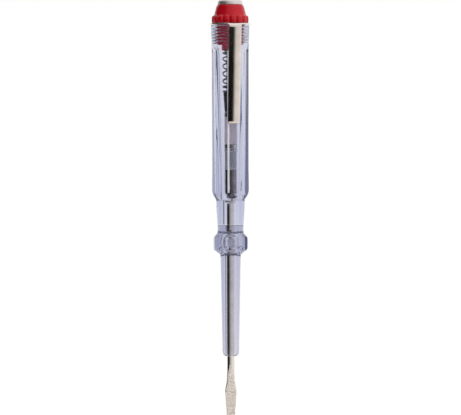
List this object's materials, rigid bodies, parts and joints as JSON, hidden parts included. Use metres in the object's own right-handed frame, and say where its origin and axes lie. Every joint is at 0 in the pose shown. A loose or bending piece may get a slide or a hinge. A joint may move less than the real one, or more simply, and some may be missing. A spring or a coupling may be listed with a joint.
{
  "type": "voltage tester screwdriver",
  "caption": "Pen-sized tester with a clear eight-sided handle over a spring, resistor and neon lamp, a red screw cap with a contact, a pocket clip and a sleeved flat blade.",
  "frame": {"origin": "middle of the blade's tip face", "axes": "+Z along the tool's axis from the blade's tip to the cap's contact; -Y is the front, where the pocket clip lies, 12 degrees towards +X; the blade's flats face -Y and +Y"},
  "size_m": [0.014, 0.016, 0.14],
  "materials": {
    "clear_plastic": "clear, faintly lavender, polished",
    "red_plastic": "glossy, solid colour",
    "chrome_contact": "polished plating",
    "blade_steel": "satin nickel plating",
    "clip_steel": "bright plated spring steel",
    "spring_steel": "drawn wire",
    "inner_steel": "tinned",
    "lamp_glass": "clear glass",
    "lamp_dark_metal": "dull, dark coated",
    "ceramic": "white ceramic",
    "lacquer": "mauve lacquer"
  },
  "bodies": {
    "handle": {"handle_body": "clear_plastic", "blade_sleeve": "clear_plastic", "blade": "blade_steel", "lamp_glass": "lamp_glass", "lamp_lower_electrode": "lamp_dark_metal", "lamp_upper_electrode": "inner_steel", "lamp_bead": "ceramic", "lamp_top_cap": "inner_steel", "lamp_base_pin": "inner_steel", "resistor_rod": "ceramic", "resistor_coat": "lacquer", "resistor_lower_cap": "inner_steel", "resistor_upper_cap": "inner_steel", "contact_cone": "lamp_dark_metal"},
    "spring": {"contact_spring": "spring_steel"},
    "cap": {"screw_cap": "red_plastic", "contact_stud": "chrome_contact", "stud_washer": "inner_steel"},
    "clip_ring": {"clip_ring": "clip_steel"},
    "clip_arm": {"clip_arm": "clip_steel"}
  },
  "joints": [
    {"name": "cap_travel", "type": "slide", "parent": "handle", "child": "spring", "axis": [0, 0, 1], "range_m": [0, 0.0063], "deforming": ["contact_spring"]},
    {"name": "cap_turn", "type": "hinge", "parent": "spring", "child": "cap", "pos_m": [0, 0, 0.132], "axis": [0, 0, 1], "range_deg": [0, 2160]},
    {"name": "clip_swivel", "type": "hinge", "parent": "handle", "child": "clip_ring", "pos_m": [0, 0, 0.13184], "axis": [0, 0, 1], "continuous": true},
    {"name": "clip_flex", "type": "hinge", "parent": "clip_ring", "child": "clip_arm", "pos_m": [0.00163, -0.00769, 0.13184], "axis": [-0.9781, -0.2079, 0], "range_deg": [0, 6], "stiffness_Nm_per_rad": 0.5}
  ],
  "couplings": [
    {"joint": "cap_turn", "follows": "cap_travel", "rad_per_m": 5984}
  ]
}
